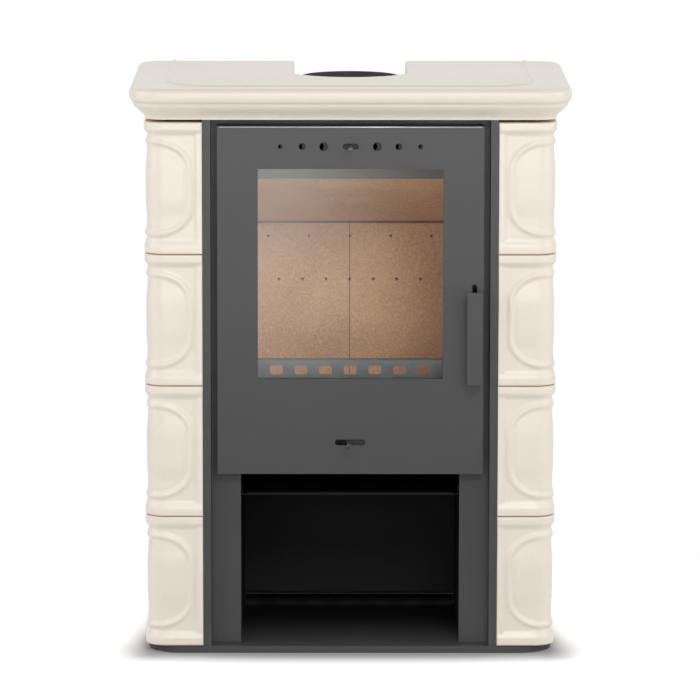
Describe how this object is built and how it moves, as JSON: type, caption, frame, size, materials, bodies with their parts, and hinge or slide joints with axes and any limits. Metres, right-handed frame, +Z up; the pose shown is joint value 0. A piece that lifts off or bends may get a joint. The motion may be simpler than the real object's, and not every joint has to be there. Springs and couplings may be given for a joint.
{
  "type": "tiled wood stove",
  "caption": "Free-standing wood stove: glazed steel door over an open wood store, cream ceramic tiles on both sides and a ceramic top slab with a notch for the flue.",
  "frame": {"origin": "on the floor, midway between the left and right and the front and back of the whole stove with its handle", "axes": "+X to the right seen from the front, the door faces -Y, +Z up"},
  "size_m": [0.67, 0.477, 0.871],
  "materials": {
    "steel_paint": "matt heat-proof dark grey paint",
    "glaze": "glossy cream glaze",
    "vermiculite": "pressed vermiculite board, dull and speckled",
    "cast_iron": "raw cast iron",
    "retainer_steel": "blue-grey sheet steel",
    "bright_steel": "turned steel",
    "glass": "clear ceramic glass",
    "rope": "glass fibre rope and tape"
  },
  "bodies": {
    "stove_body": {"base_tray": "steel_paint", "side_panel_left": "steel_paint", "side_panel_right": "steel_paint", "front_panel": "steel_paint", "firebox_shell": "steel_paint", "top_plate": "steel_paint", "flue_collar": "steel_paint", "rear_shield": "steel_paint", "store_liner": "steel_paint", "store_ceiling": "steel_paint", "store_rail_left": "steel_paint", "store_rail_right": "steel_paint", "tile_left_1": "glaze", "tile_left_2": "glaze", "tile_left_3": "glaze", "tile_left_4": "glaze", "tile_right_1": "glaze", "tile_right_2": "glaze", "tile_right_3": "glaze", "tile_right_4": "glaze", "top_slab": "glaze", "rear_liner_left": "vermiculite", "rear_liner_right": "vermiculite", "side_liner_left": "vermiculite", "side_liner_right": "vermiculite", "floor_liner": "vermiculite", "baffle": "vermiculite", "grate_shelf": "steel_paint", "grate": "cast_iron", "log_retainer": "retainer_steel", "ash_drawer": "steel_paint", "hinge_lug_upper": "steel_paint", "hinge_lug_lower": "steel_paint", "latch_keeper": "steel_paint"},
    "door": {"door_plate": "steel_paint", "door_frame": "steel_paint", "rope_seal": "rope", "glass_tape": "rope", "door_glass": "glass", "glass_rail_left": "steel_paint", "glass_rail_right": "steel_paint", "hinge_pin_upper": "bright_steel", "hinge_pin_lower": "bright_steel", "upper_guide": "steel_paint", "lower_guide": "steel_paint", "latch_bracket": "steel_paint", "latch_pivot": "bright_steel"},
    "handle": {"handle_grip": "steel_paint", "latch_lever": "steel_paint"},
    "upper_air_control": {"upper_slider": "steel_paint", "upper_knob": "bright_steel"},
    "lower_air_control": {"lower_slider": "steel_paint", "lower_knob": "bright_steel"}
  },
  "joints": [
    {"name": "door_hinge", "type": "hinge", "parent": "stove_body", "child": "door", "pos_m": [-0.19, -0.1865, 0.54425], "axis": [0, 0, -1], "range_deg": [0, 105]},
    {"name": "handle_lift", "type": "hinge", "parent": "door", "child": "handle", "pos_m": [0.1883, -0.1845, 0.548], "axis": [-1, 0, 0], "range_deg": [0, 25]},
    {"name": "upper_air_slide", "type": "slide", "parent": "door", "child": "upper_air_control", "axis": [1, 0, 0], "range_m": [-0.0082, 0.0082]},
    {"name": "lower_air_slide", "type": "slide", "parent": "door", "child": "lower_air_control", "axis": [1, 0, 0], "range_m": [-0.0174, 0.0214]}
  ]
}
